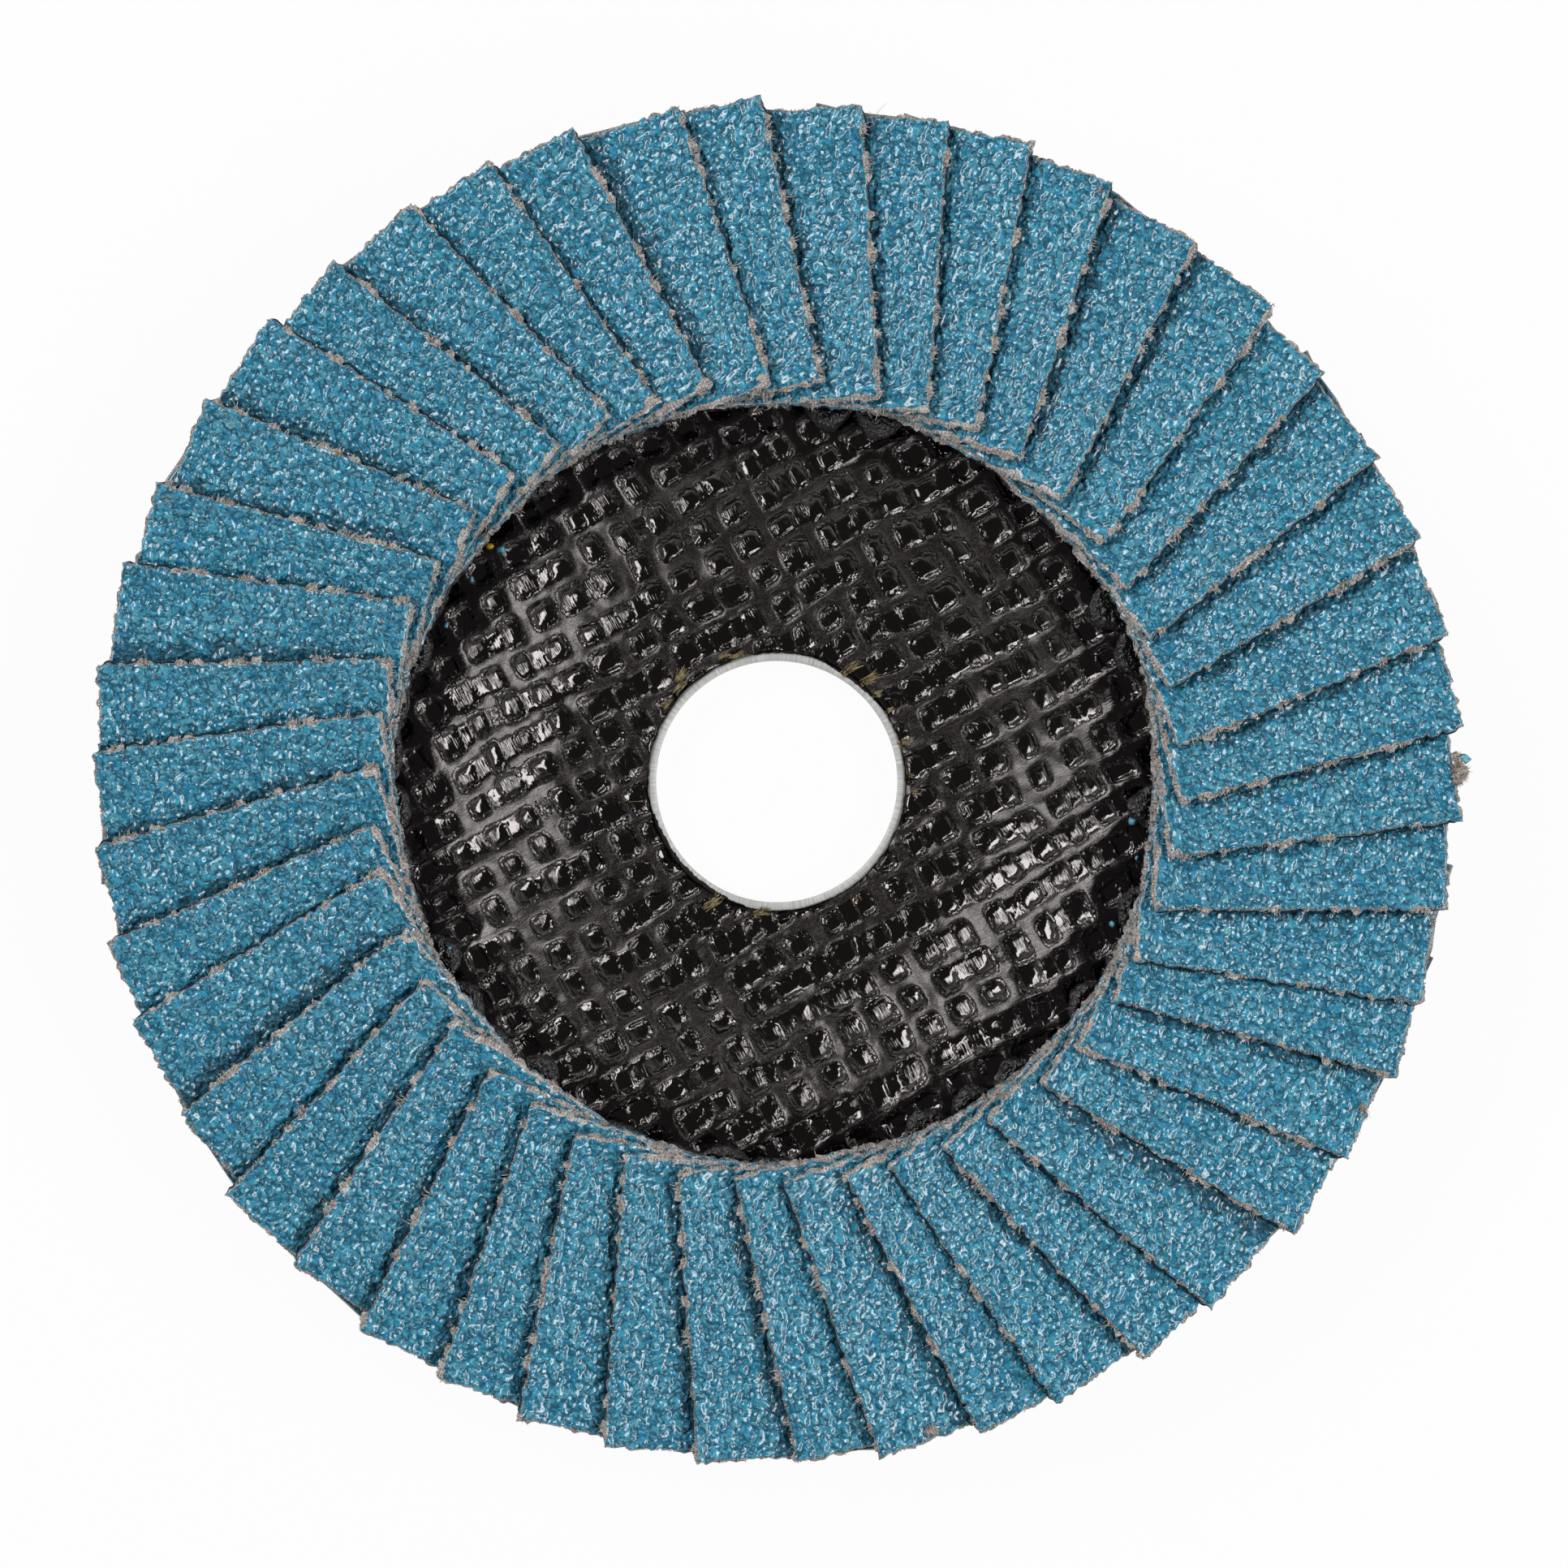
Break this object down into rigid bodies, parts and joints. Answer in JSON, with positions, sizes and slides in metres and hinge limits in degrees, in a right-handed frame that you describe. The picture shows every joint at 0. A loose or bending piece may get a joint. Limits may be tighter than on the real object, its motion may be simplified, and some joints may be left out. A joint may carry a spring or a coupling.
{
  "type": "flap disc",
  "caption": "Flap disc for an angle grinder: overlapping blue abrasive cloth flaps fanned round a dished black glass-cloth backing plate with a metal-lined bore.",
  "frame": {"origin": "middle of the ring's flange, on the face that meets the grinder, which is the disc's lowest point", "axes": "+Z along the spindle axis, from the grinder towards the working face; +X along the middle line of the first flap"},
  "size_m": [0.1248, 0.125, 0.014],
  "materials": {
    "abrasive_cloth": "resin-coated grain",
    "glass_laminate": "semi-gloss moulded mesh",
    "ring_metal": "matte stamped",
    "adhesive": "glossy cured resin"
  },
  "bodies": {
    "root": {"flap_01": "abrasive_cloth", "flap_02": "abrasive_cloth", "flap_03": "abrasive_cloth", "flap_04": "abrasive_cloth", "flap_05": "abrasive_cloth", "flap_06": "abrasive_cloth", "flap_07": "abrasive_cloth", "flap_08": "abrasive_cloth", "flap_09": "abrasive_cloth", "flap_10": "abrasive_cloth", "flap_11": "abrasive_cloth", "flap_12": "abrasive_cloth", "flap_13": "abrasive_cloth", "flap_14": "abrasive_cloth", "flap_15": "abrasive_cloth", "flap_16": "abrasive_cloth", "flap_17": "abrasive_cloth", "flap_18": "abrasive_cloth", "flap_19": "abrasive_cloth", "flap_20": "abrasive_cloth", "flap_21": "abrasive_cloth", "flap_22": "abrasive_cloth", "flap_23": "abrasive_cloth", "flap_24": "abrasive_cloth", "flap_25": "abrasive_cloth", "flap_26": "abrasive_cloth", "flap_27": "abrasive_cloth", "flap_28": "abrasive_cloth", "flap_29": "abrasive_cloth", "flap_30": "abrasive_cloth", "flap_31": "abrasive_cloth", "flap_32": "abrasive_cloth", "flap_33": "abrasive_cloth", "flap_34": "abrasive_cloth", "flap_35": "abrasive_cloth", "flap_36": "abrasive_cloth", "flap_37": "abrasive_cloth", "flap_38": "abrasive_cloth", "flap_39": "abrasive_cloth", "flap_40": "abrasive_cloth", "flap_41": "abrasive_cloth", "flap_42": "abrasive_cloth", "flap_43": "abrasive_cloth", "flap_44": "abrasive_cloth", "flap_45": "abrasive_cloth", "flap_46": "abrasive_cloth", "glass_ply_back": "glass_laminate", "glass_ply_middle": "glass_laminate", "glass_ply_front": "glass_laminate", "centre_ring": "ring_metal", "adhesive_bed": "adhesive", "adhesive_ramps": "adhesive"}
  },
  "joints": []
}
